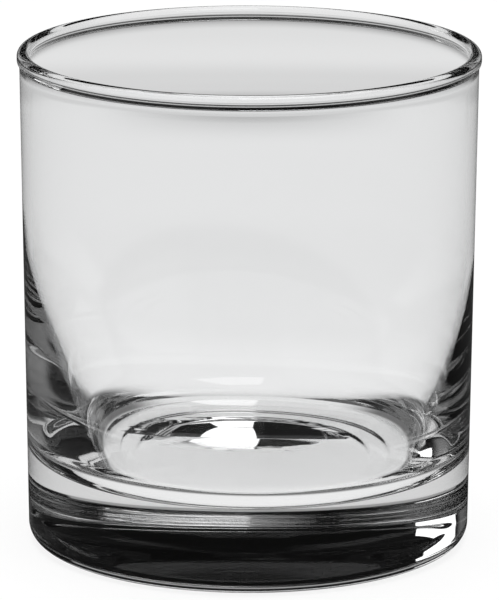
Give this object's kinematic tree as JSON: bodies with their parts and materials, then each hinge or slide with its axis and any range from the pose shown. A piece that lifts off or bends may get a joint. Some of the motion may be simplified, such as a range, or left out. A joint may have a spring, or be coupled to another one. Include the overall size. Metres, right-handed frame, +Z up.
{
  "type": "rocks glass",
  "caption": "Clear straight-sided rocks glass: heavy base with a rounded heel, slightly tapered thin wall and a fire-polished bead round the rim.",
  "frame": {"origin": "on the glass's axis, in the plane of the ring that it stands on", "axes": "+Z up along the axis of revolution; X and Y level, with -Y towards the picture's viewer"},
  "size_m": [0.083, 0.083, 0.09],
  "materials": {
    "clear_glass": "clear, smooth and glossy"
  },
  "bodies": {
    "root": {"base": "clear_glass", "side_wall": "clear_glass", "rim_bead": "clear_glass"}
  },
  "joints": []
}
